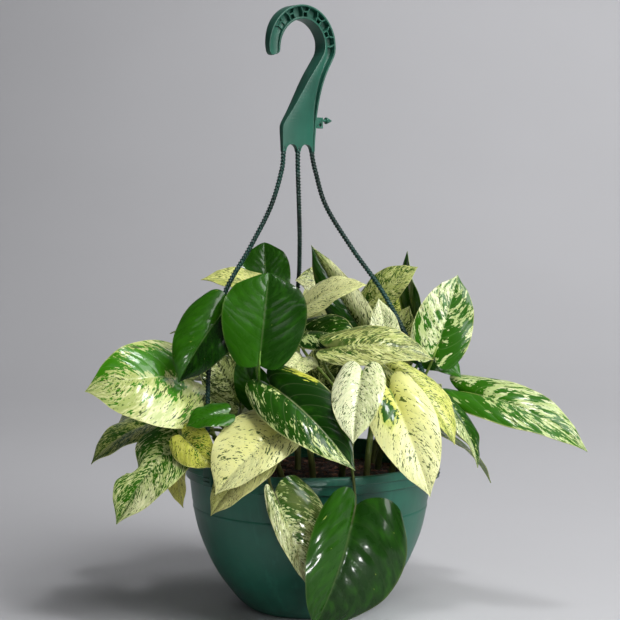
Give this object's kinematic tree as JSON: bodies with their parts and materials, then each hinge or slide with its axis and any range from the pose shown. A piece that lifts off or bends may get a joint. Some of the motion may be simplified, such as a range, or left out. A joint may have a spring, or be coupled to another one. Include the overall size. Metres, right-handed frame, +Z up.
{
  "type": "potted ivy",
  "caption": "Devil's ivy with marbled heart-shaped leaves in a moulded hanging pot that stands on its foot, with a clip-on plastic hanger and hook.",
  "frame": {"origin": "middle of the pot's flat foot, on the surface that it stands on", "axes": "+Z up, -Y towards the front that is looked at, +X to the right"},
  "size_m": [0.3896, 0.2928, 0.4812],
  "materials": {
    "pot": "satin moulded polypropylene",
    "hanger": "satin moulded polypropylene",
    "potting_mix": "loose, damp peat and bark",
    "leaf_marbled": "waxy leaf, cream marbled with green",
    "leaf_green": "waxy leaf, deep green"
  },
  "bodies": {
    "root": {"pot": "pot", "potting_mix": "potting_mix", "hanger": "hanger", "vine_front": "leaf_green", "vine_left_front": "leaf_marbled", "vine_centre_front": "leaf_marbled", "vine_right_front": "leaf_marbled", "vine_right": "leaf_marbled", "vine_right_green": "leaf_green", "vine_left": "leaf_marbled", "vine_left_green": "leaf_green", "vine_far_left": "leaf_marbled", "vine_centre": "leaf_marbled", "vine_centre_right": "leaf_marbled", "vine_back_green": "leaf_green", "vine_back": "leaf_marbled", "vine_back_right": "leaf_marbled", "vine_back_left": "leaf_marbled"}
  },
  "joints": []
}
